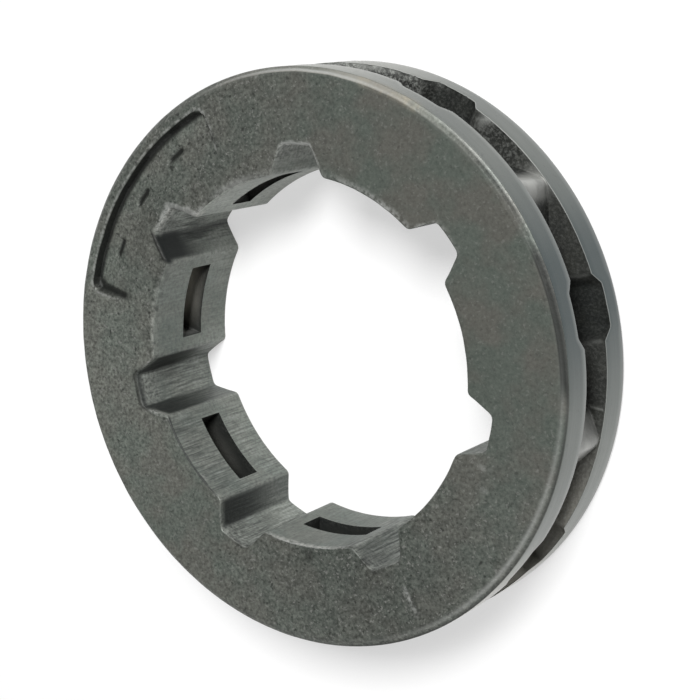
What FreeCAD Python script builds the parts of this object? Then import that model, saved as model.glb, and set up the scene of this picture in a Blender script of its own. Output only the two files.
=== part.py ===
import FreeCAD, Part
import math
import os

# Rim sprocket for a saw chain: one cast steel ring, lying on its back face.
# Millimetres and degrees. +Z is the ring's axis, the back face is on Z = 0,
# the marked front face is up, and +X runs through the middle of a bore land.

# Ring
tooth_count = 7
rim_diameter = 30.0
rim_width = 6.4
front_chamfer = 0.35
back_chamfer = 0.22

# Splined bore, one groove under each tooth
land_diameter = 19.3
root_diameter = 22.2
spline_mouth = 3.15
spline_floor = 1.85
root_fillet = 0.3
land_fillet = 0.25

# Chain slot between the two rails, with the drive teeth standing in it
back_rail = 2.15
slot_width = 2.25
tooth_drop = 0.05
tooth_flank_angle = 45.0
tooth_tip_radius = 0.58
gullet_radius = 1.5

# Pockets that widen the slot midway between two teeth
pocket_depth = 0.78
pocket_mouth = 3.3
pocket_floor = 2.15
pocket_foot_diameter = 23.6

# Windows from the bore lands into the slot, set in from the slot's two walls
window_length = 4.0
window_back_ledge = 0.12
window_front_ledge = 0.55

# Sunken marking panel on the front face, deepest along its outer wall
panel_start = 101.5
panel_end = 154.7
panel_outer_diameter = 28.2
panel_inner_diameter = 22.9
panel_depth = 0.45
panel_corner = 0.5

# Length by which a cutting solid runs past the face that it opens
overrun = 1.0

rim_radius = rim_diameter / 2
land_radius = land_diameter / 2
root_radius = root_diameter / 2
pitch_angle = 360.0 / tooth_count
slot_back = back_rail
slot_front = back_rail + slot_width

origin = FreeCAD.Vector(0, 0, 0)
axis_z = FreeCAD.Vector(0, 0, 1)


def face_from(points):
    """Flat face bounded by straight edges through the points."""
    return Part.Face(Part.makePolygon(points + points[:1]))


def around(solid, first_angle):
    """Copies of a solid made on the +X axis, one for each tooth, from the first angle on."""
    copies = []
    for index in range(tooth_count):
        copy = solid.copy()
        copy.rotate(origin, axis_z, first_angle + index * pitch_angle)
        copies.append(copy)
    return copies


def upright_edges(solid, low_radius, high_radius):
    """Straight edges along Z whose distance from the axis lies between the two radii."""
    found = []
    for edge in solid.Edges:
        start, end = edge.Vertexes[0].Point, edge.Vertexes[-1].Point
        run = end - start
        if run.Length > 0 and abs(run.z) > 0.999 * run.Length:
            if low_radius < math.hypot(start.x, start.y) < high_radius:
                found.append(edge)
    return found


def ring_blank():
    """Turned blank with both outer edges chamfered."""
    section = face_from([
        FreeCAD.Vector(0, 0, 0),
        FreeCAD.Vector(rim_radius - back_chamfer, 0, 0),
        FreeCAD.Vector(rim_radius, 0, back_chamfer),
        FreeCAD.Vector(rim_radius, 0, rim_width - front_chamfer),
        FreeCAD.Vector(rim_radius - front_chamfer, 0, rim_width),
        FreeCAD.Vector(0, 0, rim_width),
    ])
    return section.revolve(origin, axis_z, 360)


def splined_bore():
    """Broach form: the land circle with a slant-sided groove midway between two lands."""
    height = rim_width + 2 * overrun
    base = FreeCAD.Vector(0, 0, -overrun)
    mouth_x = math.sqrt(land_radius ** 2 - (spline_mouth / 2) ** 2)
    floor_x = math.sqrt(root_radius ** 2 - (spline_floor / 2) ** 2)
    floor_right = FreeCAD.Vector(floor_x, -spline_floor / 2, -overrun)
    floor_middle = FreeCAD.Vector(root_radius, 0, -overrun)
    floor_left = FreeCAD.Vector(floor_x, spline_floor / 2, -overrun)
    mouth_left = FreeCAD.Vector(mouth_x, spline_mouth / 2, -overrun)
    mouth_right = FreeCAD.Vector(mouth_x, -spline_mouth / 2, -overrun)
    outline = Part.Wire([
        Part.LineSegment(mouth_right, floor_right).toShape(),
        Part.Arc(floor_right, floor_middle, floor_left).toShape(),
        Part.LineSegment(floor_left, mouth_left).toShape(),
        Part.LineSegment(mouth_left, base).toShape(),
        Part.LineSegment(base, mouth_right).toShape(),
    ])
    groove = Part.Face(outline).extrude(FreeCAD.Vector(0, 0, height))
    form = Part.makeCylinder(land_radius, height, base)
    form = form.fuse(around(groove, pitch_angle / 2)).removeSplitter()
    middle_radius = (land_radius + root_radius) / 2
    form = form.makeFillet(root_fillet, upright_edges(form, middle_radius, rim_radius))
    return form.makeFillet(land_fillet, upright_edges(form, 0.9 * land_radius, 1.001 * land_radius))


def tooth_core():
    """Star that fills the slot's depth: round-tipped teeth with straight flanks and round gullets."""
    flank = math.radians(tooth_flank_angle)
    half_pitch = math.radians(pitch_angle / 2)
    tip_height = tooth_tip_radius * (1 / math.cos(flank) - 1)
    apex_radius = rim_radius - tooth_drop + tip_height
    valley_radius = apex_radius * math.cos(flank) / math.cos(flank - half_pitch)
    corners = []
    for index in range(tooth_count):
        valley_angle = 2 * index * half_pitch
        for radius, angle in ((valley_radius, valley_angle), (apex_radius, valley_angle + half_pitch)):
            corners.append(FreeCAD.Vector(radius * math.cos(angle), radius * math.sin(angle), slot_back))
    star = face_from(corners).extrude(FreeCAD.Vector(0, 0, slot_width))
    middle_radius = (valley_radius + apex_radius) / 2
    star = star.makeFillet(tooth_tip_radius, upright_edges(star, middle_radius, 2 * rim_radius))
    return star.makeFillet(gullet_radius, upright_edges(star, 0.9 * valley_radius, 1.001 * valley_radius))


def chain_slot():
    """Space between the rails, outside the teeth."""
    disc = Part.makeCylinder(rim_radius + overrun, slot_width, FreeCAD.Vector(0, 0, slot_back))
    return disc.cut(tooth_core())


def pocket():
    """Radial opening on +X that flares out into both rails with slanted ends."""
    foot = pocket_foot_diameter / 2
    half_mouth = pocket_mouth / 2
    half_floor = pocket_floor / 2
    outline = [
        (-half_mouth, slot_back),
        (-half_floor, slot_back - pocket_depth),
        (half_floor, slot_back - pocket_depth),
        (half_mouth, slot_back),
        (half_mouth, slot_front),
        (half_floor, slot_front + pocket_depth),
        (-half_floor, slot_front + pocket_depth),
        (-half_mouth, slot_front),
    ]
    section = face_from([FreeCAD.Vector(foot, y, z) for y, z in outline])
    return section.extrude(FreeCAD.Vector(rim_radius + overrun - foot, 0, 0))


def window():
    """Rectangular slot on +X from the bore, through the land, into the chain slot."""
    height = slot_width - window_back_ledge - window_front_ledge
    corner = FreeCAD.Vector(land_radius / 2, -window_length / 2, slot_back + window_back_ledge)
    return Part.makeBox(rim_radius - land_radius / 2, window_length, height, corner)


def marking_panel():
    """Recess round part of the front face, its floor rising to the face towards the bore."""
    inner = panel_inner_diameter / 2
    outer = panel_outer_diameter / 2
    section = face_from([
        FreeCAD.Vector(inner, 0, rim_width),
        FreeCAD.Vector(outer, 0, rim_width - panel_depth),
        FreeCAD.Vector(outer, 0, rim_width + overrun),
        FreeCAD.Vector(inner, 0, rim_width + overrun),
    ])
    recess = section.revolve(origin, axis_z, panel_end - panel_start)
    recess.rotate(origin, axis_z, panel_start)
    return recess.makeFillet(panel_corner, upright_edges(recess, 0.999 * outer, 1.001 * outer))


def rim_sprocket():
    """Finished ring: the blank less its bore, chain slot, pockets, windows and panel."""
    ring = ring_blank().cut(splined_bore())
    ring = ring.cut(chain_slot())
    ring = ring.cut(around(pocket(), 0))
    ring = ring.cut(around(window(), 0))
    return ring.cut(marking_panel())


os.makedirs("parts", exist_ok=True)
rim_sprocket().exportStep("parts/rim_sprocket.step")
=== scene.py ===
import bpy
import numpy as np
from mathutils import Matrix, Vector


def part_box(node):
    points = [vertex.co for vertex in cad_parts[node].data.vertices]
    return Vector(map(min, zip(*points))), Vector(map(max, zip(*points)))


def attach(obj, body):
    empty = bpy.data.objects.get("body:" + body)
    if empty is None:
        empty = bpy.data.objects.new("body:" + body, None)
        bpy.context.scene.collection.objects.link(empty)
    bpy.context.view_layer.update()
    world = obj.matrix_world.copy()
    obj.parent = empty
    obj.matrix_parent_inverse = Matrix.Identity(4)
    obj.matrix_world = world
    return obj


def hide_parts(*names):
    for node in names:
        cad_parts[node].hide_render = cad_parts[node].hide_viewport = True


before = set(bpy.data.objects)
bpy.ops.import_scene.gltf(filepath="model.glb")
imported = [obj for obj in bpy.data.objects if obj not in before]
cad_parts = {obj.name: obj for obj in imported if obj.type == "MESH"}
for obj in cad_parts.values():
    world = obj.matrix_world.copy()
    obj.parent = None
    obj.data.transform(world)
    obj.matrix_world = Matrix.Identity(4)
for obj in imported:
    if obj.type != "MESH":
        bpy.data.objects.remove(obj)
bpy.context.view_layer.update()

# The cast ring
# A rim sprocket is one ring of hard steel, cast with its chain slot, teeth, pockets and windows.
# Its rim is then ground and its bore broached, and it slides loose on a splined clutch drum.
MM = 0.001
low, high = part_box("rim_sprocket")
box_clearance = 0.003
rim_radius = (high.x - low.x) / 2 / MM - box_clearance
rim_width = (high.z - low.z) / MM
teeth = 7
half_pitch = np.pi / teeth

# The bore has grooves with slanted flanks between its lands. The arcs of both stop short of the
# corners by a small angle, and the corners are eased.
land_radius, root_radius = 9.65, 11.1
spline_mouth, spline_floor = 3.15, 1.85
land_angle = np.arcsin(spline_mouth / 2 / land_radius)
root_angle = np.arcsin(spline_floor / 2 / root_radius)
land_arc_gap, root_arc_gap = 0.024, 0.022
land_ease, root_ease = 0.2, 0.22
curve_points = 13


def arc(radius, start, end, count=24):
    """Points of a circle about the axis from one angle to another."""
    angle = np.linspace(start, end, count)
    return np.stack([radius * np.cos(angle), radius * np.sin(angle)], 1)


def ring_point(radius, angle):
    """One point of a circle about the axis."""
    return arc(radius, angle, angle, 1)


def eased(points, reach):
    """Polyline whose inner corners become parabolas that start and end at the given reach from them."""
    path = [points[:1]]
    t = np.linspace(0, 1, curve_points)[:, None]
    for before, at, after, cut in zip(points, points[1:], points[2:], reach):
        start = at + cut * (before - at) / np.linalg.norm(before - at)
        end = at + cut * (after - at) / np.linalg.norm(after - at)
        path.append((1 - t) ** 2 * start + 2 * t * (1 - t) * at + t ** 2 * end)
    return np.concatenate(path + [points[-1:]])


def polar_radius(path, angle):
    """Radius of a path at each angle from its start, read off between the path's points."""
    return np.interp(angle, np.arctan2(path[:, 1], path[:, 0]), np.hypot(path[:, 0], path[:, 1]))


def bore_radius(angle):
    """Broached outline over half a pitch from a groove's middle: floor arc, slanted flank, land arc."""
    floor_arc = arc(root_radius, 0, root_angle - root_arc_gap)
    land_arc = arc(land_radius, land_angle + land_arc_gap, half_pitch)
    root_point = ring_point(root_radius, root_angle)
    land_point = ring_point(land_radius, land_angle)
    flank = np.concatenate([floor_arc[-1:], root_point, land_point, land_arc[:1]])
    flank = eased(flank, (root_ease, land_ease))
    return polar_radius(np.concatenate([floor_arc[:-1], flank, land_arc[1:]]), angle)


# The chain slot has round-tipped teeth with round gullets between them.
slot_back, slot_front = 2.15, 4.40
tip_clearance = 0.05
tooth_tip, tooth_tip_radius = rim_radius - tip_clearance, 0.58
flank_angle = np.radians(45.0)
gullet_radius = 1.5


def slot_floor_radius(angle):
    """Slot floor over half a pitch from a tooth's middle: round tip, straight flank, round gullet."""
    apex = tooth_tip + tooth_tip_radius * (1 / np.cos(flank_angle) - 1)
    valley = apex * np.cos(flank_angle) / np.cos(flank_angle - half_pitch)
    bend = np.linspace(0, flank_angle, curve_points)
    tip_middle = tooth_tip - tooth_tip_radius
    tip = np.stack([tip_middle + tooth_tip_radius * np.cos(bend), tooth_tip_radius * np.sin(bend)], 1)
    valley_point = ring_point(valley, half_pitch)
    next_apex = ring_point(apex, 2 * half_pitch)
    gullet_reach = gullet_radius * np.tan(flank_angle - half_pitch)
    gullet = eased(np.concatenate([tip[-1:], valley_point, next_apex]), (gullet_reach,))
    return polar_radius(np.concatenate([tip[:-1], gullet]), angle)


# Pockets for the chain's straps flare outwards in both rails, in line with the lands.
front_pocket, back_pocket = 0.5, 0.78
pocket_mouth, pocket_floor = 3.3, 2.15
pocket_foot_low, pocket_foot_high = 11.5, 11.9


def smooth(edge0, edge1, x):
    """Share that rises from 0 at the first edge to 1 at the second, flat at both ends."""
    t = np.clip((x - edge0) / (edge1 - edge0), 0, 1)
    return t * t * (3 - 2 * t)


def pocket_flare(radius, angle):
    """Share of a pocket's depth: full over its floor, falling along slanted ends, gone below its foot."""
    across = np.abs(radius * np.sin(angle))
    ramp = (pocket_mouth / 2 - across) / (pocket_mouth - pocket_floor) * 2
    return np.clip(ramp, 0, 1) * smooth(pocket_foot_low, pocket_foot_high, radius)


def ring_line(radius, turns):
    """Points at one radius, or one for each angle, round the axis at height 0."""
    return np.stack([radius * np.cos(turns), radius * np.sin(turns), 0 * turns], 1)


# One pitch of angles from the middle of a land: even across the window, then spaced by the length
# of the bore's outline. The slot's angles differ, because the window's sides are parallel.
window_length, window_floor_radius = 4.0, 12.15
window_back_sill, window_front_sill = 0.12, 0.55
window_low, window_high = slot_back + window_back_sill, slot_front - window_front_sill
inside_count, outside_count, dense_count = 36, 30, 4001
rounding = 1e-9
dense = np.linspace(0, half_pitch, dense_count)
slot_window = np.arcsin(window_length / 2 / window_floor_radius)
bore_window = np.arcsin(window_length / 2 / land_radius)
outline = ring_line(bore_radius(half_pitch - dense), dense)
outline_length = np.concatenate([[0], np.cumsum(np.linalg.norm(np.diff(outline, axis=0), axis=1))])
edge_length = np.interp(bore_window, dense, outline_length)
outside_length = np.linspace(edge_length, outline_length[-1], outside_count + 1)
outside = np.interp(outside_length, outline_length, dense)
inside = np.linspace(-bore_window, bore_window, inside_count + 1)
bore_pitch = np.concatenate([-outside[::-1][:-1], inside, outside[1:-1]])
stretch = (half_pitch - slot_window) / (half_pitch - bore_window)
slot_pitch = np.where(
    np.abs(bore_pitch) <= bore_window + rounding,
    bore_pitch * slot_window / bore_window,
    np.sign(bore_pitch) * (half_pitch - (half_pitch - np.abs(bore_pitch)) * stretch),
)
pitch_columns = len(bore_pitch)
pitch_middle = np.repeat(np.arange(teeth) * 2 * half_pitch, pitch_columns)
bore_angle = np.tile(bore_pitch, teeth)
slot_angle = np.tile(slot_pitch, teeth)
columns = len(bore_angle)


def hump(x, middle, width):
    """Bell that is 1 at the middle and falls off over the width."""
    return np.exp(-(((x - middle) / width) ** 2))


def turn_gap(first, second):
    """Smallest angle between two directions round the axis."""
    return np.abs((first - second + np.pi) % (2 * np.pi) - np.pi)


def bell(turns, degrees, width):
    """Bell round the axis, 1 at an angle and falling off over a width, both in degrees."""
    return hump(turn_gap(turns, np.radians(degrees)), 0, np.radians(width))


def lattice_noise(points, cell, seed):
    """Random values from -1 to 1 at the corners of a cubic lattice, blended smoothly inside each cell."""
    primes = np.array([73856093, 19349663, 83492791])
    seed_step, mixer, top_value = 2654435761, 1274126177, 0xFFFF
    lattice_start = 1000.0
    scaled = np.asarray(points) / cell + lattice_start
    base = np.floor(scaled).astype(np.int64)
    share = scaled - base
    share = share * share * (3 - 2 * share)
    total = np.zeros(scaled.shape[:-1])
    for corner_step in np.ndindex(2, 2, 2):
        at = base + np.array(corner_step)
        code = np.bitwise_xor.reduce(at * primes, axis=-1) ^ seed * seed_step
        code = (code ^ (code >> 13)) * mixer
        value = ((code ^ (code >> 16)) & top_value) / (top_value / 2) - 1
        total += value * np.prod(np.where(np.array(corner_step) == 1, share, 1 - share), axis=-1)
    return total


# Lines that the section's corners follow round the ring. The front edge was ground off centre,
# so its chamfer is low on one side, and the casting left the bore's front edge soft on one side.
# The bore's front edge is torn in two places, and the back rail's edge is ragged near the top.
# Two rings split the front face where its rows change their spacing.
bore_line = bore_radius(half_pitch - np.abs(bore_angle))
floor_line = slot_floor_radius(half_pitch - np.abs(slot_angle))
flare_line = pocket_flare(rim_radius, slot_angle)
rim_turn = slot_angle + pitch_middle
bore_turn = bore_angle + pitch_middle
rim_circle = ring_line(rim_radius, rim_turn)
bore_circle = ring_line(bore_line, bore_turn)
chamfer_drop, drop_swing, shallow_turn = 0.24, 0.12, np.radians(-8)
front_drop = chamfer_drop - drop_swing * np.cos(rim_turn - shallow_turn)
front_drop = front_drop + 0.012 * lattice_noise(rim_circle, 0.7, 3)
front_inset = 0.36 - 0.12 * bell(rim_turn, 78, 24) + 0.02 * lattice_noise(rim_circle, 0.9, 4)
back_inset = 0.22
dash_ring, face_ring = 12.35, 13.6
soft_side = bell(bore_turn, 138, 45)
torn_side = np.maximum(bell(bore_turn, 276, 5), bell(bore_turn, 325, 4))
bore_ease = 0.09 + 0.25 * soft_side + (0.03 + 0.05 * soft_side) * lattice_noise(bore_circle, 0.45, 5)
bore_ease = (bore_ease + torn_side * (0.04 + 0.10 * lattice_noise(bore_circle, 0.22, 7)))[:, None]
ragged = (0.015 + 0.10 * bell(rim_turn, 62, 17)) * lattice_noise(rim_circle, 0.16, 6)
front_mouth = slot_front + front_pocket * flare_line
back_mouth = slot_back - back_pocket * flare_line + ragged


def corner(angle, radius, height):
    """One corner of the section for every column: angle from the land's middle, radius and height."""
    return np.stack([angle, radius + 0 * angle, height + 0 * angle], 1)


# Corners of the section in order round it: the corner's name, the finish that follows it, its line,
# its easing reach and the rows up to the next corner.
section = [
    ("bore_front", "face", corner(bore_angle, bore_line, rim_width), bore_ease, 9),
    ("dash_line", "face", corner((bore_angle + slot_angle) / 2, dash_ring, rim_width), 0, 11),
    ("face_line", "face", corner((bore_angle + 3 * slot_angle) / 4, face_ring, rim_width), 0, 13),
    ("front_chamfer", "edge", corner(slot_angle, rim_radius - front_inset, rim_width), 0.10, 2),
    ("front_rail", "rail", corner(slot_angle, rim_radius, rim_width - front_drop), 0.07, 4),
    ("front_mouth", "slot_front", corner(slot_angle, rim_radius, front_mouth), 0.06, 9),
    ("front_foot", "floor", corner(slot_angle, floor_line, slot_front), 0.25, 3),
    ("window_top", "floor_window", corner(slot_angle, floor_line, window_high), 0, 6),
    ("window_foot", "floor", corner(slot_angle, floor_line, window_low), 0, 2),
    ("back_foot", "slot_back", corner(slot_angle, floor_line, slot_back), 0.1, 9),
    ("back_mouth", "rail", corner(slot_angle, rim_radius, back_mouth), 0.08, 4),
    ("back_rail", "edge", corner(slot_angle, rim_radius, back_inset), 0.06, 2),
    ("back_chamfer", "face", corner(slot_angle, rim_radius - back_inset, 0), 0.08, 6),
    ("bore_back", "bore", corner(bore_angle, bore_line, 0), 0.10, 6),
    ("bore_window_foot", "bore_window", corner(bore_angle, bore_line, window_low), 0, 6),
    ("bore_window_top", "bore", corner(bore_angle, bore_line, window_high), 0, 7),
]
ease_rows, longest_ease = 4, 0.45
rows, row_finish, row_corner = [], [], []
for index, (corner_name, finish, here, reach, count) in enumerate(section):
    before_finish, before = section[index - 1][1:3]
    after, next_reach = section[(index + 1) % len(section)][2:4]
    run = np.linalg.norm((after - here)[:, 1:], axis=1)[:, None]
    start = here + (after - here) * np.minimum(reach / run, longest_ease)
    end = after + (here - after) * np.minimum(next_reach / run, longest_ease)
    if np.any(reach):
        back_run = np.linalg.norm((before - here)[:, 1:], axis=1)[:, None]
        entry = here + (before - here) * np.minimum(reach / back_run, longest_ease)
        for t in np.arange(ease_rows) / ease_rows:
            rows.append((1 - t) ** 2 * entry + 2 * t * (1 - t) * here + t ** 2 * start)
            row_finish.append(before_finish if t < 0.5 else finish)
            row_corner.append(corner_name)
    for t in np.arange(count) / count:
        rows.append(start + (end - start) * t)
        row_finish.append(finish)
        row_corner.append("")
angle, radius, height = np.moveaxis(np.array(rows), 2, 0)
row_finish = np.array(row_finish)
row_corner = np.array(row_corner)
row_count = len(row_finish)
turn = angle + pitch_middle

# Pockets bend the two slot walls outwards. The walls' outermost rows keep the rails' edges.
wall_margin = 0.05
flare = pocket_flare(radius, angle)
in_slot = radius < rim_radius - wall_margin
on_front_wall = in_slot & (row_finish == "slot_front")[:, None]
on_back_wall = in_slot & (row_finish == "slot_back")[:, None]
height = np.where(on_front_wall, slot_front + front_pocket * flare, height)
height = np.where(on_back_wall, slot_back - back_pocket * flare, height)

# The panel for marks is sunk in the front face, with a floor that rises towards the bore.
# It holds three plain dashes.
panel_start, panel_end = np.radians(101.5), np.radians(154.7)
panel_outer, panel_inner, panel_depth, panel_corner = 14.1, 11.45, 0.45, 0.5
panel_wall_top, panel_wall_foot = 0.01, -0.08
panel_middle, panel_half = (panel_start + panel_end) / 2, (panel_end - panel_start) / 2
along = np.abs(turn - panel_middle) * panel_outer - panel_half * panel_outer + panel_corner
out = radius - panel_outer + panel_corner
past_wall = np.hypot(np.maximum(along, 0), np.maximum(out, 0))
to_wall = past_wall + np.minimum(np.maximum(along, out), 0) - panel_corner
panel_slope = np.clip((radius - panel_inner) / (panel_outer - panel_inner), 0, 1)
panel = panel_depth * panel_slope * smooth(panel_wall_top, panel_wall_foot, to_wall)
dash_turns, dash_middle, dash_half = np.radians([114, 128.5, 143]), 12.95, 0.45
dash_depth, dash_edge, dash_core = 0.14, 0.2, 0.09
dash_along = np.min([np.abs(turn - dash_turn) * dash_middle for dash_turn in dash_turns], axis=0)
from_dash = np.hypot(np.maximum(dash_along - dash_half, 0), radius - dash_middle)
dash = smooth(dash_edge, dash_core, from_dash)
face_margin = 0.02
on_front = (height > rim_width - face_margin) & (row_finish == "face")[:, None]
height = height - np.where(on_front, panel + dash_depth * dash, 0)
points = np.stack([radius * np.cos(turn), radius * np.sin(turn), height], -1)

# Faces of the grid, without those that a window opens in the bore and in the slot floor.
number = np.arange(row_count * columns).reshape(row_count, columns)
window_columns = np.arange(outside_count, outside_count + inside_count + 1)
window_spans = (np.arange(teeth)[:, None] * pitch_columns + window_columns[:-1]).ravel()
closed = np.ones((row_count, columns), bool)
closed[np.ix_(np.isin(row_finish, ["floor_window", "bore_window"]), window_spans)] = False
face_row, face_column = np.nonzero(closed)
next_row, next_column = (face_row + 1) % row_count, (face_column + 1) % columns
grid_faces = np.stack([
    number[next_row, face_column],
    number[next_row, next_column],
    number[face_row, next_column],
    number[face_row, face_column],
], 1)

# Each window is a tunnel: the loop of its edge in the bore is joined to the loop in the slot floor
# by straight lines, cut into a few steps.
bore_first = np.flatnonzero(row_finish == "bore_window")[0]
floor_first = np.flatnonzero(row_finish == "floor_window")[0]
window_rows = np.count_nonzero(row_finish == "bore_window")
up_side = np.arange(1, window_rows + 1)
loop_step = np.concatenate([
    0 * window_columns,
    up_side,
    0 * window_columns[1:] + window_rows,
    up_side[:-1][::-1],
])
loop_column = np.concatenate([
    window_columns,
    0 * up_side + window_columns[-1],
    window_columns[:-1][::-1],
    0 * up_side[1:] + window_columns[0],
])
all_columns = np.arange(teeth)[:, None] * pitch_columns + loop_column
bore_loop = number[bore_first + loop_step, all_columns]
floor_loop = number[floor_first + window_rows - loop_step, all_columns]
tunnel_steps = 5
share = np.arange(1, tunnel_steps)[:, None, None, None] / tunnel_steps
flat_points = points.reshape(-1, 3)
tunnel_points = (1 - share) * flat_points[bore_loop] + share * flat_points[floor_loop]
tunnel_grid = tunnel_points.shape[:-1]
tunnel_numbers = len(flat_points) + np.arange(np.prod(tunnel_grid)).reshape(tunnel_grid)
layers = np.concatenate([bore_loop[None], tunnel_numbers, floor_loop[None]])
ahead = np.roll(layers, -1, axis=2)
tunnel_faces = np.stack([layers[:-1], ahead[:-1], ahead[1:], layers[1:]], -1).reshape(-1, 4)[:, ::-1]

# The grid's points inside the windows belong to no face, so they are left out.
mesh = bpy.data.meshes.new("rim_sprocket_form")
used, faces = np.unique(np.concatenate([grid_faces, tunnel_faces]), return_inverse=True)
faces = faces.reshape(-1, 4)
vertices = np.concatenate([flat_points, tunnel_points.reshape(-1, 3)])[used]
mesh.from_pydata(vertices * MM, [], faces)

# Casting and cutting leave each surface a little uneven. The noise only ever takes metal away.
finish_roughness = {"face": 0.030, "edge": 0.012, "rail": 0.003, "bore": 0.008, "bore_window": 0.008}
slot_roughness = 0.07
unevenness = np.array([finish_roughness.get(finish, slot_roughness) for finish in row_finish])
tunnel_unevenness = np.full(np.prod(tunnel_grid), slot_roughness)
unevenness = np.concatenate([np.repeat(unevenness, columns), tunnel_unevenness])[used]
normals = np.empty(len(vertices) * 3)
mesh.vertex_normals.foreach_get("vector", normals)
waves = 0.5 + 0.26 * lattice_noise(vertices, 1.3, 11) + 0.24 * lattice_noise(vertices, 0.35, 12)
vertices = vertices - normals.reshape(-1, 3) * (unevenness * waves)[:, None]
mesh.vertices.foreach_set("co", (vertices * MM).astype(np.float32).ravel())

# A map in millimetres for tool marks: along the bore's outline or the rim, and up the axis.
outline_step = np.linalg.norm(np.diff(bore_circle, axis=0, append=bore_circle[:1]), axis=1)
bore_run = np.concatenate([[0], np.cumsum(outline_step)])
rim_run = np.concatenate([rim_turn, rim_turn[:1] + 2 * np.pi]) * rim_radius
is_bore = np.isin(row_finish, ["bore", "bore_window"])[face_row]
run_start = np.where(is_bore, bore_run[face_column], rim_run[face_column])
run_end = np.where(is_bore, bore_run[face_column + 1], rim_run[face_column + 1])
map_run = np.stack([run_start, run_end, run_end, run_start], 1)
map_height = height.ravel()[grid_faces]
tool_map = np.zeros((len(faces) * 4, 2))
tool_map[: len(grid_faces) * 4] = np.stack([map_run.ravel(), map_height.ravel()], 1)
mesh.uv_layers.new(name="tool_map").data.foreach_set("uv", tool_map.astype(np.float32).ravel())

# The finishes' materials are added in this order by the next sections. All that isn't named here,
# and the windows, has the scale of the slot.
face_finish, slot_finish, rail_finish, bore_finish = range(4)
finish_material = {
    "face": face_finish,
    "edge": face_finish,
    "rail": rail_finish,
    "bore": bore_finish,
    "bore_window": bore_finish,
}
row_material = np.array([finish_material.get(finish, slot_finish) for finish in row_finish])
face_material = np.concatenate([row_material[face_row], np.full(len(tunnel_faces), slot_finish)])
mesh.polygons.foreach_set("material_index", face_material.astype(np.int32))
mesh.polygons.foreach_set("use_smooth", np.ones(len(faces), bool))
mesh.set_sharp_from_angle(angle=np.radians(50))
mesh.update()
ring = bpy.data.objects.new("rim_sprocket_form", mesh)
bpy.context.scene.collection.objects.link(ring)
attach(ring, "root")
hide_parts("rim_sprocket")


# The cast skin
# Both faces keep the grey, grainy skin of the mould after blasting, with warm and cool patches.
# Handling has rubbed its edges bright, burrs hold dark scale, and the panel's walls hold dark scale
# and painted shade. Painted light makes the face lighter on the left and darker at the bottom.
def near_turn(degrees, width):
    """Bell on the ring's surface at an angle from the first land, with its width, both in degrees."""
    return bell(turn, degrees, width)


def bells(*places):
    """Sum of bells on the ring's surface, each given as its height, its angle and its width."""
    return sum(peak * near_turn(degrees, width) for peak, degrees, width in places)


def plateau(x, first, full, fading, last):
    """Share that rises from the first value to the full one and falls from the fading one to the last."""
    return smooth(first, full, x) * smooth(last, fading, x)


def strongest(marks):
    """Largest of several marks at each point of the grid."""
    return np.max(np.broadcast_arrays(*marks), axis=0)


def keep(name, grid_values, tunnel_values=0.0):
    """Store a value at each point of the ring's mesh: those of the grid, then those of the windows."""
    whole_grid = np.broadcast_to(grid_values, (row_count, columns)).ravel()
    whole_tunnels = np.broadcast_to(tunnel_values, tunnel_grid).ravel()
    layer = mesh.attributes.new(name, "FLOAT", "POINT")
    layer.data.foreach_set("value", np.concatenate([whole_grid, whole_tunnels])[used].astype(np.float32))


# Marks are placed by degrees round the ring, and by radius and height in millimetres.
# Corners of the section are rubbed bright, but for the parts of the bore's edge with painted shadow.
surface_degrees = np.degrees(turn) % 360
plain_row = (row_corner == "")[:, None]
on_rail = (row_finish == "rail")[:, None]
on_chamfer = (row_finish == "edge")[:, None] & (height > rim_width / 2)
bottom_land = near_turn(257, 15) * smooth(273.5, 271, surface_degrees)
groove_line = plateau(surface_degrees, 114, 117, 131.5, 133.5) * (0.6 + 0.4 * near_turn(120, 4))
shadowed_land_edge = plateau(surface_degrees, 188.5, 191, 218, 222)
shadowed_floor_edge = plateau(surface_degrees, 173, 175, 185, 187)
bore_edge_shine = 0.14 + 0.86 * bottom_land + 0.8 * groove_line + 0.3 * near_turn(95, 10)
bore_edge_shine = bore_edge_shine * (1 - shadowed_land_edge) * (1 - near_turn(136, 4)) * (1 - shadowed_floor_edge)
chamfer_side = smooth(-0.04, 0.04, radius - rim_radius + front_inset)
corner_shine = {
    "bore_front": bore_edge_shine,
    "front_chamfer": 0.05 + 0.8 * near_turn(75, 18) * chamfer_side,
    "front_rail": 0.06 + bells((0.25, 35, 14), (0.2, 145, 40)),
    "front_mouth": 0.35 * on_rail,
    "back_mouth": on_rail * (0.45 + bells((0.2, 30, 35), (0.5, 36, 14), (0.8, 73, 15))),
    "back_rail": 0.3,
    "back_chamfer": 0.4,
    "bore_back": 0.5,
}
bright_marks = [shine * (row_corner == name)[:, None] for name, shine in corner_shine.items()]
inner_line = hump(radius, rim_radius - front_inset + 0.06, 0.06) * (height > rim_width - 0.2)
low_line = hump(radius, rim_radius - 0.33, 0.11) * (height > rim_width - 0.15)
bright_marks += [inner_line * near_turn(75, 18), 0.5 * low_line * near_turn(-48, 30)]
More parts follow.
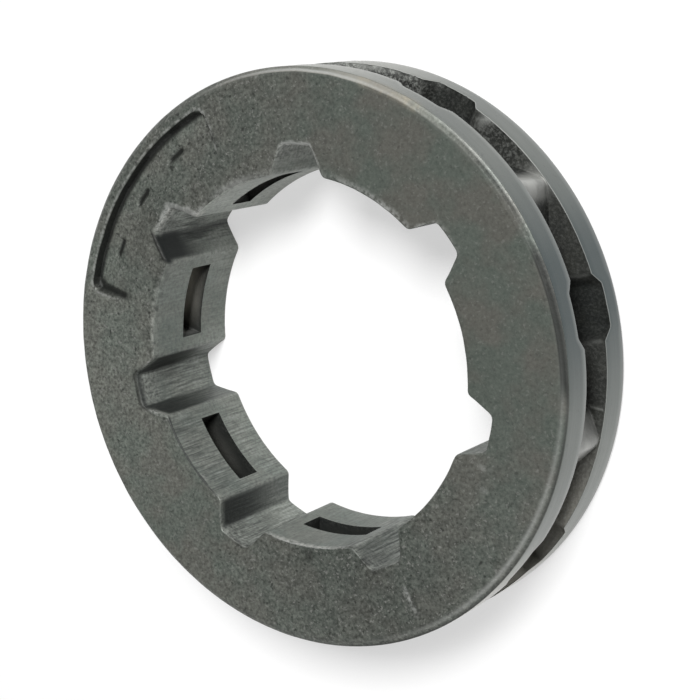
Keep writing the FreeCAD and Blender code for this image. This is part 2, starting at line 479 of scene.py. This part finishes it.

# The panel's rim has painted highlights, its wall and lower end get painted shade and dark scale,
# and the dashes are dark.
panel_rim = on_front * smooth(0.1, 0.4, panel_slope)
in_panel = on_front * smooth(0.075, 0.015, to_wall)
end_gap = (panel_end - turn % (2 * np.pi)) * panel_outer
start_gap = (turn % (2 * np.pi) - panel_start) * panel_outer
panel_top_end = on_front * smooth(0.0, 0.2, panel_slope) * hump(start_gap, 0.03, 0.1)
bright_marks += [
    0.62 * panel_rim * hump(to_wall, 0.13, 0.06),
    0.6 * panel_rim * near_turn(156, 2.5) * hump(to_wall, 0.16, 0.09),
    0.75 * panel_top_end * (to_wall < 0.2),
]
dark_marks = [
    panel_rim * in_panel * smooth(-0.41, -0.14, to_wall) * smooth(0.1, 0.6, start_gap),
    in_panel * smooth(0.02, 0.10, panel_slope) * smooth(0.58, 0.34, end_gap),
    in_panel * smooth(0.85, 0.4, end_gap) * smooth(13.35, 13.7, radius),
    on_front * dash,
]


def edge_rows(first, last):
    """Rows from the bore's front edge outwards: 0 to 3 ease the corner, and 4 starts the flat face."""
    row_step = np.arange(row_count)[:, None]
    return (row_step >= first) & (row_step <= last)


# Burrs and torn places on the bore's front edge, painted shadow on two stretches of that edge and at the
# front of one groove's flank, and the lines where that edge is rubbed.
specks = lattice_noise(points, 0.3, 21)
burr_specks = lattice_noise(points, 0.4, 22)
whole_edge = edge_rows(0, 4)
dark_marks += [
    0.9 * shadowed_land_edge * edge_rows(1, 3) * smooth(-0.9, -0.3, specks),
    0.6 * near_turn(158, 22) * whole_edge * smooth(0.0, 0.5, specks),
    plateau(surface_degrees, 132.6, 134, 138, 139.4) * whole_edge,
    0.75 * near_turn(276, 4) * whole_edge * smooth(-0.7, -0.2, specks),
    0.8 * shadowed_floor_edge * whole_edge,
    0.65 * near_turn(231.4, 5) * whole_edge * smooth(-0.5, 0.0, specks),
]
groove_rim = plateau(surface_degrees, 117.5, 119, 124, 125.5) * edge_rows(2, 5)
top_rim = plateau(surface_degrees, 68, 70, 81, 83) * edge_rows(1, 4)
land_rim = near_turn(99, 11) * edge_rows(2, 4)
bright_marks += [
    0.6 * groove_rim,
    0.9 * top_rim,
    0.55 * land_rim,
    0.95 * near_turn(46, 20) * on_front * smooth(0.27, 0.10, radius - bore_line),
    0.8 * near_turn(325, 3.5) * whole_edge * smooth(0.0, 0.5, specks),
    0.6 * near_turn(214, 7) * edge_rows(0, 0) * smooth(-0.2, 0.4, burr_specks),
    0.6 * near_turn(187, 2.5) * whole_edge,
]
keep("smooth_line", np.maximum(radius > 14.3, 0.7 * strongest([top_rim, groove_rim, land_rim])))

# Two rub marks, a scratch with painted shade along one side, and a dark spot on the front face.
for rub_turn, rub_ring in ((325.5, 11.3), (320.5, 11.65)):
    rub_across = turn_gap(turn, np.radians(rub_turn)) * radius
    bright_marks.append(0.35 * on_front * hump(rub_across, 0, 0.14) * hump(radius, rub_ring, 0.32))
scratch_turn, scratch_width = np.radians(285.2), 0.09
scratch_place = on_front * plateau(radius, 12.2, 12.6, 13.8, 14.2)
scratch_across = ((turn - scratch_turn + np.pi) % (2 * np.pi) - np.pi) * radius
bright_marks.append(scratch_place * hump(scratch_across, 0, scratch_width))
# Painted shade along one side of the scratch.
dark_marks.append(0.4 * scratch_place * hump(scratch_across, 0.22, scratch_width))
spot_x, spot_y, spot_width = -2.19, -9.94, 0.27
from_spot = np.hypot(points[..., 0] - spot_x, points[..., 1] - spot_y)
dark_marks.append(0.8 * on_front * hump(from_spot, 0, spot_width))

# Tan stains, the dark side of the front chamfer and its top side, tan with a painted highlight,
# how crisp the grain is, and the face's painted light.
stain_place = smooth(14.45, 14.75, radius) * smooth(0.7, 0.2, rim_width - height)
keep("stain", 0.7 * stain_place * bells((1, 50, 2.2), (1, 56, 2.0), (0.6, 61, 1.6)))
below_front = on_chamfer | ((height > rim_width - 0.1) & (radius > 14.5))
dark_side = smooth(17, 10, np.degrees(turn_gap(turn, 0)))
chamfer_foot = 0.8 * near_turn(-56, 18) * smooth(14.80, 14.88, radius)
chamfer_foot = chamfer_foot + 0.9 * near_turn(-84, 18) * smooth(14.82, 14.90, radius)
chamfer_foot = chamfer_foot + 0.85 * near_turn(-24, 17) * smooth(14.80, 14.90, radius)
chamfer_foot = chamfer_foot + 0.85 * near_turn(28, 14) * plateau(radius, 14.60, 14.76, 14.9, 14.97)
low_edge = below_front * dark_side * smooth(14.56, 14.64, radius) + on_chamfer * chamfer_foot
keep("low_edge", np.clip(low_edge, 0, 1))
# The chamfer's top stretch is tan with a painted highlight.
worn_off = 0.7 * smooth(62, 74, surface_degrees) * smooth(14.76, 14.86, radius)
keep("top_edge_tan_and_highlight", on_chamfer * near_turn(72, 20) * (1 - worn_off))
from_right = np.degrees(turn_gap(turn, np.radians(18)))
keep("crisp", 0.34 + 0.56 * smooth(28, 90, from_right) - 0.3 * near_turn(214, 24))
# Painted light: the face is lighter on the left and on the panel's floor, darker at the bottom.
painted_light_left = smooth(2.0, 13.0, -points[..., 0] - 0.45 * points[..., 1])
panel_floor_painted_light = on_front * panel_slope * smooth(-0.1, -0.3, to_wall)
face_painted_light = 1.12 + 0.5 * painted_light_left + 0.4 * panel_floor_painted_light
keep("face_painted_light", face_painted_light + bells((-0.28, 252, 36), (-0.08, 214, 20), (0.06, 315, 25)))


def plug(tree, socket, value):
    """Link an output socket to an input, or set the input to a plain value."""
    if isinstance(value, bpy.types.NodeSocket):
        tree.links.new(value, socket)
    else:
        socket.default_value = value


def noise(tree, place, scale, detail=2.0, rough=0.5):
    """Noise from 0 to 1 whose grains are about one over the scale across."""
    made = tree.nodes.new("ShaderNodeTexNoise")
    plug(tree, made.inputs["Vector"], place)
    made.inputs["Scale"].default_value = scale
    made.inputs["Detail"].default_value = detail
    made.inputs["Roughness"].default_value = rough
    return made.outputs[0]


def span(tree, value, low, high, first=0.0, last=1.0):
    """Straight change of a value from one range to another, held at both ends."""
    made = tree.nodes.new("ShaderNodeMapRange")
    plug(tree, made.inputs["Value"], value)
    for name, limit in (("From Min", low), ("From Max", high), ("To Min", first), ("To Max", last)):
        plug(tree, made.inputs[name], limit)
    return made.outputs[0]


def combine(tree, operation, first, second):
    """Two values joined by one operation, such as a product."""
    made = tree.nodes.new("ShaderNodeMath")
    made.operation = operation
    plug(tree, made.inputs[0], first)
    plug(tree, made.inputs[1], second)
    return made.outputs[0]


def blend(tree, share, first, second):
    """Colour that goes from the first to the second with the share."""
    made = tree.nodes.new("ShaderNodeMix")
    made.data_type = "RGBA"
    plug(tree, made.inputs[0], share)
    plug(tree, made.inputs[6], first)
    plug(tree, made.inputs[7], second)
    return made.outputs[2]


def kept(tree, name):
    """Value that the ring's mesh keeps at each point under this name."""
    made = tree.nodes.new("ShaderNodeAttribute")
    made.attribute_name = name
    return made.outputs["Fac"]


def lay(tree, tone, share, weight, colour):
    """Tone with a colour laid over it by a share times a weight."""
    return blend(tree, combine(tree, "MULTIPLY", share, weight), tone, colour)


def raise_surface(tree, height_value, distance, strength):
    """Bump from a height, in metres of full rise."""
    made = tree.nodes.new("ShaderNodeBump")
    made.inputs["Distance"].default_value = distance
    plug(tree, made.inputs["Strength"], strength)
    plug(tree, made.inputs["Height"], height_value)
    return made.outputs[0]


def new_finish(name):
    """Empty material with its shader and the object's own coordinates."""
    material = bpy.data.materials.new(name)
    material.use_nodes = True
    tree = material.node_tree
    place = tree.nodes.new("ShaderNodeTexCoord").outputs["Object"]
    mesh.materials.append(material)
    return tree, tree.nodes["Principled BSDF"], place


cool_skin, warm_skin = (0.096, 0.115, 0.098, 1), (0.118, 0.115, 0.100, 1)
dark_grain, light_grain = (0.025, 0.029, 0.025, 1), (0.234, 0.250, 0.222, 1)
lump_shade, pit_shade = (0.050, 0.053, 0.048, 1), (0.020, 0.021, 0.019, 1)
glint_grey, stain_tan = (0.36, 0.36, 0.34, 1), (0.42, 0.36, 0.255, 1)
edge_shade, tan_and_painted_highlight = (0.018, 0.020, 0.018, 1), (0.45, 0.43, 0.385, 1)
worn_and_highlight_steel, scale_and_painted_shade = (0.50, 0.51, 0.49, 1), (0.012, 0.013, 0.012, 1)
tree, skin, place = new_finish("cast_face")
grain = noise(tree, place, 5600, 3, 0.62)
lumps = noise(tree, place, 2300, 2, 0.5)
pits = noise(tree, place, 3300, 1, 0.5)
glints = noise(tree, place, 6200, 1, 0.5)
patch = noise(tree, place, 430, 2, 0.5)
cloud = noise(tree, place, 1500, 2, 0.5)
crisp = kept(tree, "crisp")
tone = blend(tree, span(tree, patch, 0.4, 0.6), cool_skin, warm_skin)
grain_tone = blend(tree, span(tree, grain, 0.32, 0.68), dark_grain, light_grain)
tone = lay(tree, tone, crisp, 0.72, grain_tone)
tone = lay(tree, tone, span(tree, lumps, 0.62, 0.34, 0.0, 0.42), crisp, lump_shade)
# The tone is scaled by the face's painted light.
brighten = tree.nodes.new("ShaderNodeVectorMath")
brighten.operation = "SCALE"
plug(tree, brighten.inputs[0], tone)
plug(tree, brighten.inputs["Scale"], kept(tree, "face_painted_light"))
tone = brighten.outputs[0]
tone = lay(tree, tone, combine(tree, "MULTIPLY", span(tree, pits, 0.33, 0.27), crisp), 0.75, pit_shade)
tone = lay(tree, tone, combine(tree, "MULTIPLY", span(tree, glints, 0.63, 0.73), crisp), 0.6, glint_grey)
tone = lay(tree, tone, kept(tree, "low_edge"), 0.95, edge_shade)
tone = lay(tree, tone, kept(tree, "top_edge_tan_and_highlight"), 0.74, tan_and_painted_highlight)
tone = lay(tree, tone, kept(tree, "stain"), span(tree, cloud, 0.42, 0.6, 0.1, 0.9), stain_tan)
broken = span(tree, combine(tree, "ADD", lumps, grain), 0.8, 1.15, 0.05, 0.95)
broken = combine(tree, "MAXIMUM", broken, combine(tree, "MULTIPLY", kept(tree, "smooth_line"), 0.9))
tone = lay(tree, tone, kept(tree, "bright"), broken, worn_and_highlight_steel)
tone = lay(tree, tone, kept(tree, "dark"), 0.92, scale_and_painted_shade)
plug(tree, skin.inputs["Base Color"], tone)
skin.inputs["Metallic"].default_value = 0.5
plug(tree, skin.inputs["Roughness"], span(tree, grain, 0.3, 0.7, 0.66, 0.5))
grain_strength = combine(tree, "MULTIPLY", crisp, 0.5)
plug(tree, skin.inputs["Normal"], raise_surface(tree, grain, 0.05 * MM, grain_strength))

# The scale in the slot
# The slot, the pockets and the windows keep the dark scale of the casting, with coarse crumbs in one
# stretch, painted light on some walls and painted highlights on some edges. The chain has rubbed the tips
# of the teeth.
on_floor = np.isin(row_finish, ["floor", "floor_window"])[:, None]
on_back = (row_finish == "slot_back")[:, None]
on_walls = np.isin(row_finish, ["slot_front", "floor", "slot_back"])[:, None] & plain_row
pocket_end = hump(np.abs(radius * np.sin(angle)), pocket_mouth / 2 - 0.05, 0.08)
slot_line_highlight = hump(turn_gap(turn, np.radians(-19.4)) * radius, 0, 0.05)
outer_strip = on_back * smooth(14.2, 14.7, radius)
# Painted highlights on the pockets' ends, on a line across the slot and on a crescent at one pocket's
# end, and two lighter stretches on the back wall's outer edge.
bright_marks += [
    0.25 * on_walls * pocket_end * smooth(12.6, 14.4, radius),
    0.45 * on_walls * slot_line_highlight,
    0.9 * outer_strip * near_turn(42.5, 1.1),
    0.5 * outer_strip * near_turn(91, 6),
    0.9 * on_back * near_turn(74, 13) * smooth(14.5, 14.92, radius),
]
rub_foot = 14.35 - 0.4 * near_turn(-26, 20)
tip_rub = on_floor * smooth(rub_foot, rub_foot + 0.4, radius)
tip_rub = tip_rub * (0.5 + bells((0.65, 27.4, 2.7), (0.1, -26, 8), (0.5, -27.2, 2.5)))
wall_rub = 0.7 * on_back * near_turn(26.6, 2.6) * smooth(14.2, 14.5, radius)
keep("rubbed", np.maximum(tip_rub, wall_rub))
# The crumbs' light specks near the top are partly painted glints.
crumbs = 0.06 + bells((0.9, 73.5, 9.5), (0.3, 62, 6), (0.13, 38, 9), (0.12, -42, 14))
crumbs = crumbs * (1 - 0.3 * flare)
crumbs = crumbs * (1 - 0.4 * on_back * near_turn(74, 14) * smooth(14.9, 14.5, radius))
keep("coarse", np.clip(crumbs, 0, 1))
# Painted light makes some slot walls and pocket floors paler.
painted_wall_light = on_back * (1 - flare) * (0.05 + 0.65 * near_turn(-38, 9))
painted_wall_light = painted_wall_light + on_floor * 0.8 * near_turn(-38, 8)
painted_wall_light = painted_wall_light + (on_back | on_floor) * bells((2.2, -63, 6), (0.9, -51, 6), (0.4, -42, 5))

# The scale in each window is painted lighter by its own share, more so towards the slot, as painted
# light, and one end of the window has a painted highlight on a ledge near the bore.
window_painted_light = np.array([0.3, 0.3, 1.4, 1.9, 0.14, 0.0, 0.3])[:, None]
window_share = (loop_column - window_columns[0]) / inside_count
window_painted_light = window_painted_light * plateau(window_share, -0.1, 0.2, 0.6, 1.1)
window_depth = np.array([0.3, 0.8, 1.4, 1.6])[:, None, None]
keep("painted_wall_light", np.clip(painted_wall_light, 0, 2.0), window_painted_light * window_depth)
first_step = np.arange(1, tunnel_steps)[:, None, None] == 1
ledge_highlight = first_step & (loop_column == window_columns[-1])

dark_scale, brown_scale = (0.011, 0.013, 0.012, 1), (0.019, 0.021, 0.018, 1)
painted_light_tone = (0.56, 0.545, 0.485, 1)
crumb_shade, crumb_light_and_glint = (0.005, 0.006, 0.006, 1), (0.60, 0.62, 0.58, 1)
tip_steel, rubbed_and_highlit_scale = (0.40, 0.405, 0.385, 1), (0.36, 0.37, 0.35, 1)
tree, scale, place = new_finish("slot_scale")
grain = noise(tree, place, 6000, 3, 0.65)
patch = noise(tree, place, 900, 2, 0.5)
tone = blend(tree, span(tree, patch, 0.35, 0.65), dark_scale, brown_scale)
tone = lay(tree, tone, kept(tree, "painted_wall_light"), 0.5, painted_light_tone)
crumb_tone = blend(tree, span(tree, grain, 0.45, 0.66), crumb_shade, crumb_light_and_glint)
tone = lay(tree, tone, kept(tree, "coarse"), 0.85, crumb_tone)
tone = lay(tree, tone, kept(tree, "rubbed"), span(tree, patch, 0.3, 0.55, 0.6, 1.0), tip_steel)
tone = lay(tree, tone, kept(tree, "bright"), span(tree, patch, 0.3, 0.6, 0.4, 1.0), rubbed_and_highlit_scale)
plug(tree, scale.inputs["Base Color"], tone)
scale.inputs["Metallic"].default_value = 0.5
plug(tree, scale.inputs["Roughness"], span(tree, kept(tree, "rubbed"), 0, 1, 0.68, 0.42))
unrubbed = span(tree, kept(tree, "rubbed"), 0, 1, 1.0, 0.18)
unrubbed = combine(tree, "MULTIPLY", unrubbed, span(tree, kept(tree, "coarse"), 0.05, 0.4, 0.36, 0.6))
plug(tree, scale.inputs["Normal"], raise_surface(tree, grain, 0.09 * MM, unrubbed))


# The ground rim
# The two rails that carry the chain are ground true, so they are smooth bluish grey steel
# with very fine marks that run round the rim. Painted reflection sets their tone round the ring.
def tool_lines(tree, run_scale, height_scale, detail, rough):
    """Noise on the map in millimetres, with one scale along the outline and one up the axis."""
    tool_marks = tree.nodes.new("ShaderNodeUVMap")
    tool_marks.uv_map = "tool_map"
    stretched = tree.nodes.new("ShaderNodeVectorMath")
    stretched.operation = "MULTIPLY"
    plug(tree, stretched.inputs[0], tool_marks.outputs[0])
    stretched.inputs[1].default_value = (run_scale, height_scale, 1.0)
    return noise(tree, stretched.outputs[0], 1.0, detail, rough)


# Painted reflection: darkest near the right side, brighter at the top, brightest at the lower right.
rail_painted_reflection = 0.40 + bells((-0.44, 5, 18), (0.55, 80, 24), (1.6, -66, 13), (-0.1, 50, 12))
keep("rail_painted_reflection", rail_painted_reflection + 0.01 * (height < rim_width / 2))
shaded_rail, plain_rail = (0.050, 0.067, 0.068, 1), (0.315, 0.322, 0.288, 1)
bright_painted_reflection, rail_stain = (0.64, 0.63, 0.60, 1), (0.36, 0.32, 0.25, 1)
mark_grey, speckle_grey = (0.07, 0.08, 0.08, 1), (0.06, 0.065, 0.065, 1)
tree, ground, place = new_finish("ground_rail")
marks = tool_lines(tree, 0.25, 18.0, 2, 0.6)
patch = noise(tree, place, 260, 2, 0.5)
speckle = noise(tree, place, 4200, 2, 0.5)
shine = combine(tree, "ADD", kept(tree, "rail_painted_reflection"), span(tree, patch, 0.3, 0.7, -0.04, 0.04))
tone = blend(tree, span(tree, shine, 0, 1), shaded_rail, plain_rail)
tone = blend(tree, span(tree, shine, 1, 2), tone, bright_painted_reflection)
tone = lay(tree, tone, span(tree, marks, 0.35, 0.65), 0.12, mark_grey)
tone = lay(tree, tone, span(tree, speckle, 0.36, 0.28), 0.3, speckle_grey)
tone = lay(tree, tone, kept(tree, "stain"), 0.4, rail_stain)
tone = lay(tree, tone, kept(tree, "bright"), 0.7, worn_and_highlight_steel)
plug(tree, ground.inputs["Base Color"], tone)
ground.inputs["Metallic"].default_value = 0.65
plug(tree, ground.inputs["Roughness"], span(tree, marks, 0.3, 0.7, 0.30, 0.38))
plug(tree, ground.inputs["Normal"], raise_surface(tree, marks, 0.006 * MM, 0.4))

# The broached bore
# Lands and grooves are cut by a broach pulled through along the axis, which leaves fine lines
# from front to back and bright corners on the lands. The grooves keep some cast skin at the front.
in_bore = np.isin(row_finish, ["bore", "bore_window"])[:, None] & plain_row
from_land = np.abs(angle)
land_corner = half_pitch - land_angle
root_corner = half_pitch - root_angle
bright_marks += [
    in_bore * 0.18 * hump(from_land * land_radius, land_corner * land_radius, 0.1),
    in_bore * 0.4 * near_turn(77, 8) * smooth(land_corner, root_corner, from_land),
    in_bore * 0.45 * near_turn(100, 14) * smooth(2.4, 1.4, height),
]

# The grooves' flanks get painted shade, more so at the front, apart from those that face the light,
# and one groove gets a wedge of painted shade.
on_flank = smooth(land_corner - 0.004, land_corner + 0.014, from_land)
on_flank = on_flank * smooth(root_corner + 0.012, root_corner - 0.004, from_land)
flank_painted_shade = 0.45 + 0.45 * smooth(0.5, 5.0, height)
for lit_share, lit_turn, lit_width in ((0.75, 272, 9), (1, 86, 9), (0.95, 326, 6)):
    flank_painted_shade = flank_painted_shade * (1 - lit_share * near_turn(lit_turn, lit_width))
flank_painted_shade = flank_painted_shade * (1 - 0.8 * near_turn(172, 6) * smooth(3.2, 0.8, height))
flank_painted_shade = flank_painted_shade - 0.5 * near_turn(136, 6) * smooth(5.0, 2.0, height)
flank_painted_shade = np.minimum(flank_painted_shade + 0.15 * near_turn(135, 5) * smooth(3.5, 5.5, height), 1)
from_root = (root_corner - from_land) / (root_corner - land_corner)
wedge = 0.15 + 0.38 * smooth(0.5, 4.5, height)
wedge_painted_shade = 0.7 * near_turn(135, 6) * smooth(wedge + 0.14, wedge - 0.14, from_root)
root_line = hump(from_land * root_radius, root_corner * root_radius, 0.09)
dark_marks += [
    in_bore * on_flank * np.maximum(flank_painted_shade, wedge_painted_shade),
    in_bore * (0.4 + 0.4 * near_turn(133, 4)) * root_line,
]

# Finishes meet at the section's corners, so all of them share one bright and one dark value.
keep("bright", strongest(bright_marks), ledge_highlight)
keep("dark", strongest(dark_marks))

# Where cast skin is left, how strong the broach's lines are, and painted light that makes the steel
# paler or darker in places.
in_groove = smooth(land_corner + 0.02, land_corner + 0.06, from_land)
front_skin = 0.85 * smooth(rim_width - 2.2, rim_width - 0.5, height)
keep("cast", in_groove * np.maximum(front_skin, 0.65 * near_turn(80, 14)))
broach_lines = 0.25 + bells((0.75, 206, 20), (1.3, 278, 9)) + 0.7 * in_groove * (1 - near_turn(80, 14))
keep("lines", np.clip(broach_lines, 0, 1))
bore_painted_light = bells((1.05, 107, 21), (0.13, 206, 15), (-0.2, 257, 14), (0.14, 146, 8), (0.2, 275, 6))
bore_painted_light = bore_painted_light + 0.25 * smooth(4.5, 0.5, height) * (1 - near_turn(154, 16))
bore_painted_light = bore_painted_light + smooth(3.5, 1.0, height) * bells((0.35, 136, 5), (0.6, 173, 5))
bore_painted_light = bore_painted_light + 0.08 * near_turn(154, 14) * smooth(3.0, 6.0, height)
groove_painted_light = 0.42 + bells((-0.38, 180, 14), (0.6, 126, 5), (0.5, 84, 9), (0.35, 74, 7))
keep("bore_painted_light", np.clip(bore_painted_light + in_groove * groove_painted_light, 0, 1))

cool_bore, warm_bore = (0.157, 0.183, 0.161, 1), (0.190, 0.204, 0.178, 1)
painted_light_bore_tone, grit_shade = (0.45, 0.48, 0.435, 1), (0.045, 0.049, 0.047, 1)
line_shade, ridge_light = (0.050, 0.056, 0.053, 1), (0.40, 0.42, 0.41, 1)
skin_shade, skin_light = (0.045, 0.05, 0.044, 1), (0.36, 0.38, 0.345, 1)
bore_steel, bore_scale_and_painted_shade = (0.52, 0.52, 0.49, 1), (0.022, 0.025, 0.024, 1)
tree, broached, place = new_finish("broached_bore")
marks = tool_lines(tree, 8.5, 0.45, 3, 0.7)
patch = noise(tree, place, 520, 3, 0.55)
zone = noise(tree, place, 150, 1, 0.5)
grit = noise(tree, place, 5200, 3, 0.62)
tone = blend(tree, span(tree, patch, 0.35, 0.65), cool_bore, warm_bore)
tone = lay(tree, tone, kept(tree, "bore_painted_light"), 0.85, painted_light_bore_tone)
lines = combine(tree, "MULTIPLY", span(tree, marks, 0.58, 0.36), span(tree, zone, 0.4, 0.6, 0.6, 1.0))
tone = lay(tree, tone, lines, kept(tree, "lines"), line_shade)
tone = lay(tree, tone, span(tree, marks, 0.56, 0.72, 0.0, 0.45), kept(tree, "lines"), ridge_light)
tone = blend(tree, span(tree, grit, 0.6, 0.3, 0.0, 0.45), tone, grit_shade)
skin_tone = blend(tree, span(tree, grit, 0.32, 0.68), skin_shade, skin_light)
tone = lay(tree, tone, kept(tree, "cast"), 0.8, skin_tone)
tone = lay(tree, tone, kept(tree, "bright"), span(tree, grit, 0.36, 0.6, 0.15, 1.0), bore_steel)
tone = blend(tree, kept(tree, "dark"), tone, bore_scale_and_painted_shade)
plug(tree, broached.inputs["Base Color"], tone)
broached.inputs["Metallic"].default_value = 0.4
plug(tree, broached.inputs["Roughness"], span(tree, marks, 0.3, 0.7, 0.6, 0.46))
rise = combine(tree, "ADD", marks, combine(tree, "MULTIPLY", grit, 0.35))
plug(tree, broached.inputs["Normal"], raise_surface(tree, rise, 0.03 * MM, 0.6))

# The studio
# A white table under soft light from above and a camera at the photograph's viewing angle.
# The table adds a glow of its own for the camera and for reflections, and keeps the ring's shadow.
table_half, table_glow = 0.6, 0.55
table_corners = [(-1, -1, 0), (1, -1, 0), (1, 1, 0), (-1, 1, 0)]
table_mesh = bpy.data.meshes.new("table")
table_mesh.from_pydata(np.array(table_corners) * table_half, [], [(0, 1, 2, 3)])
table = bpy.data.objects.new("table", table_mesh)
bpy.context.scene.collection.objects.link(table)
white = bpy.data.materials.new("white_table")
white.use_nodes = True
tree = white.node_tree
cloth = tree.nodes["Principled BSDF"]
cloth.inputs["Base Color"].default_value = (0.45, 0.45, 0.45, 1)
cloth.inputs["Roughness"].default_value = 0.9
cloth.inputs["Emission Color"].default_value = (1, 1, 1, 1)
ray = tree.nodes.new("ShaderNodeLightPath")
seen = combine(tree, "MAXIMUM", ray.outputs["Is Camera Ray"], ray.outputs["Is Glossy Ray"])
seen = combine(tree, "MAXIMUM", seen, ray.outputs["Is Transmission Ray"])
plug(tree, cloth.inputs["Emission Strength"], combine(tree, "MULTIPLY", seen, table_glow))
table_mesh.materials.append(white)

world = bpy.data.worlds.new("studio")
world.use_nodes = True
world.node_tree.nodes["Background"].inputs["Color"].default_value = (1, 1, 1, 1)
world.node_tree.nodes["Background"].inputs["Strength"].default_value = 0.05
bpy.context.scene.world = world


def softbox(name, place, size, power):
    """Square lamp at a place in metres, turned to the ring."""
    lamp = bpy.data.lights.new(name, "AREA")
    lamp.size = size
    lamp.energy = power
    holder = bpy.data.objects.new(name, lamp)
    place = np.array(place)
    nearly_up = (0.31, 0.17, 0.94)
    forward = -place / np.linalg.norm(place)
    side = np.cross(forward, nearly_up)
    side /= np.linalg.norm(side)
    turned = np.stack([side, np.cross(side, forward), -forward], 1)
    holder.matrix_world = Matrix.Translation(place) @ Matrix(turned.tolist()).to_4x4()
    bpy.context.scene.collection.objects.link(holder)


softbox("key", (0.154, 0.154, 0.311), 0.12, 1.75)
softbox("lower", (0.0, -0.344, 0.161), 0.25, 0.42)

azimuth, elevation, roll = np.radians(7.064), np.radians(54.966), np.radians(-108.077)
aim = np.array([0.912, 0.030, 3.2]) * MM
distance = 90.709 * MM
out_share = np.cos(elevation)
toward = np.array([out_share * np.cos(azimuth), out_share * np.sin(azimuth), np.sin(elevation)])
level = np.cross(-toward, (0, 0, 1))
level /= np.linalg.norm(level)
upright = np.cross(level, -toward)
right = level * np.cos(roll) + upright * np.sin(roll)
up = upright * np.cos(roll) - level * np.sin(roll)
camera_data = bpy.data.cameras.new("camera")
camera_data.lens = 89.59
camera_data.clip_start = 0.005
camera = bpy.data.objects.new("camera", camera_data)
turned = np.stack([right, up, toward], 1)
camera.matrix_world = Matrix.Translation(aim + distance * toward) @ Matrix(turned.tolist()).to_4x4()
bpy.context.scene.collection.objects.link(camera)
bpy.context.scene.camera = camera
bpy.context.scene.view_settings.view_transform = "Standard"

bpy.context.view_layer.update()
